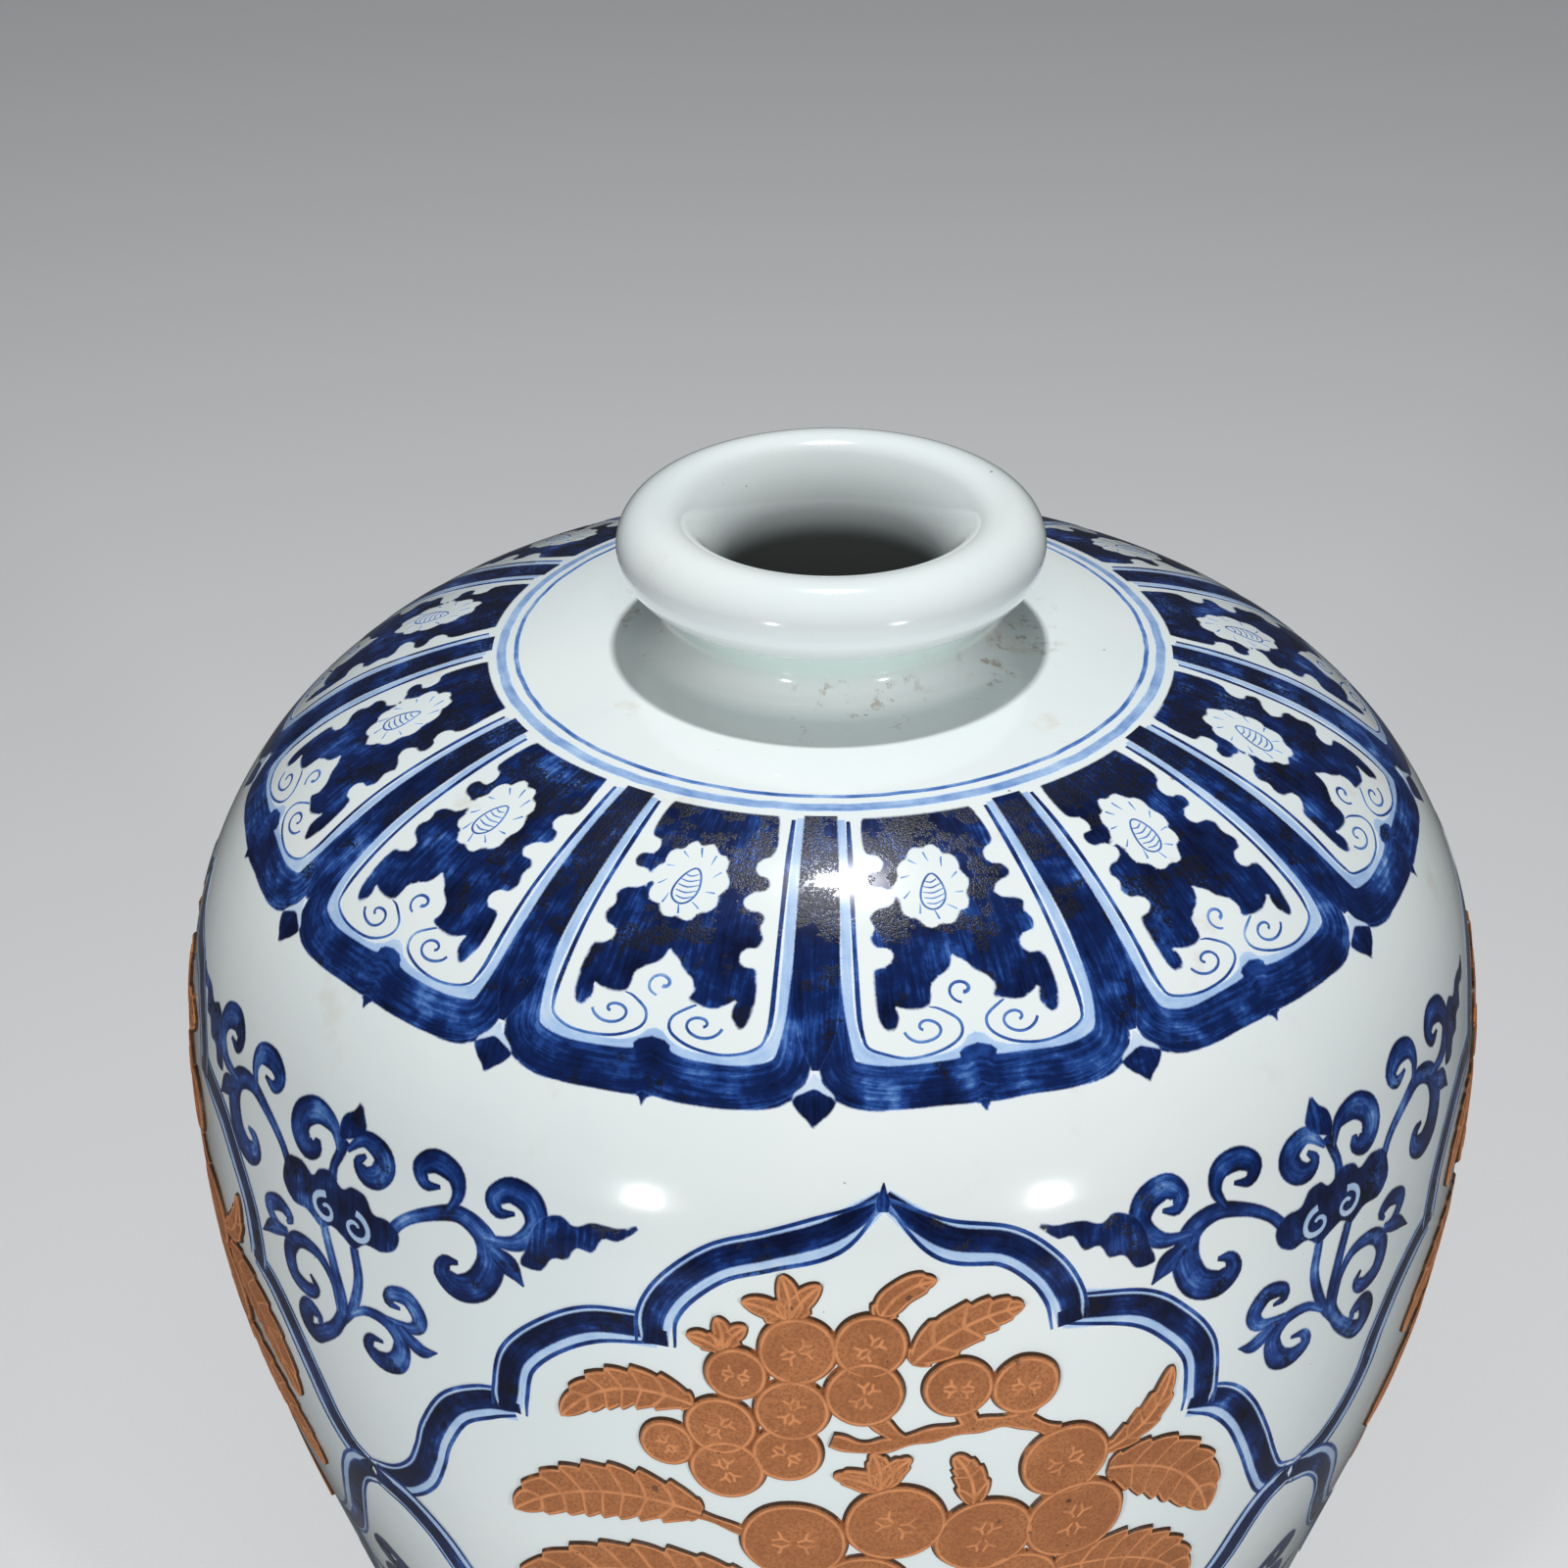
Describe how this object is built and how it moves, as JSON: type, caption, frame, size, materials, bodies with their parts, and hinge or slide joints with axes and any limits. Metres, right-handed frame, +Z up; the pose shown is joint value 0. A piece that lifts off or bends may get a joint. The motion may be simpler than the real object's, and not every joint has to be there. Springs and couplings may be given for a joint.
{
  "type": "meiping vase",
  "caption": "Tall meiping vase with a broad rounded shoulder, short neck, small rolled mouth, flared foot and moulded fruit sprigs in four panels.",
  "frame": {"origin": "centre of the underside of the foot ring, on the plane that the vase stands on", "axes": "+Z up along the axis of the vase, -Y towards the front panel, +X to the right of it"},
  "size_m": [0.305, 0.305, 0.455],
  "materials": {
    "porcelain": "glossy clear glaze over white porcelain, painted in cobalt blue",
    "biscuit": "unglazed orange-brown biscuit with dark brown edges"
  },
  "bodies": {
    "root": {"foot_section": "porcelain", "lower_body": "porcelain", "belly_section": "porcelain", "shoulder_section": "porcelain", "neck_and_mouth": "porcelain", "front_upper_fruits": "biscuit", "front_fruit_pair": "biscuit", "front_lower_fruits": "biscuit", "front_upper_leaf": "biscuit", "front_top_leaf": "biscuit", "front_broad_leaf": "biscuit", "front_long_leaf": "biscuit", "front_folded_leaf": "biscuit", "front_drooping_leaf": "biscuit", "front_branch": "biscuit", "front_stalk": "biscuit", "right_upper_fruits": "biscuit", "right_fruit_pair": "biscuit", "right_lower_fruits": "biscuit", "right_upper_leaf": "biscuit", "right_top_leaf": "biscuit", "right_broad_leaf": "biscuit", "right_long_leaf": "biscuit", "right_folded_leaf": "biscuit", "right_drooping_leaf": "biscuit", "right_branch": "biscuit", "right_stalk": "biscuit", "back_upper_fruits": "biscuit", "back_fruit_pair": "biscuit", "back_lower_fruits": "biscuit", "back_upper_leaf": "biscuit", "back_top_leaf": "biscuit", "back_broad_leaf": "biscuit", "back_long_leaf": "biscuit", "back_folded_leaf": "biscuit", "back_drooping_leaf": "biscuit", "back_branch": "biscuit", "back_stalk": "biscuit", "left_upper_fruits": "biscuit", "left_fruit_pair": "biscuit", "left_lower_fruits": "biscuit", "left_upper_leaf": "biscuit", "left_top_leaf": "biscuit", "left_broad_leaf": "biscuit", "left_long_leaf": "biscuit", "left_folded_leaf": "biscuit", "left_drooping_leaf": "biscuit", "left_branch": "biscuit", "left_stalk": "biscuit"}
  },
  "joints": []
}
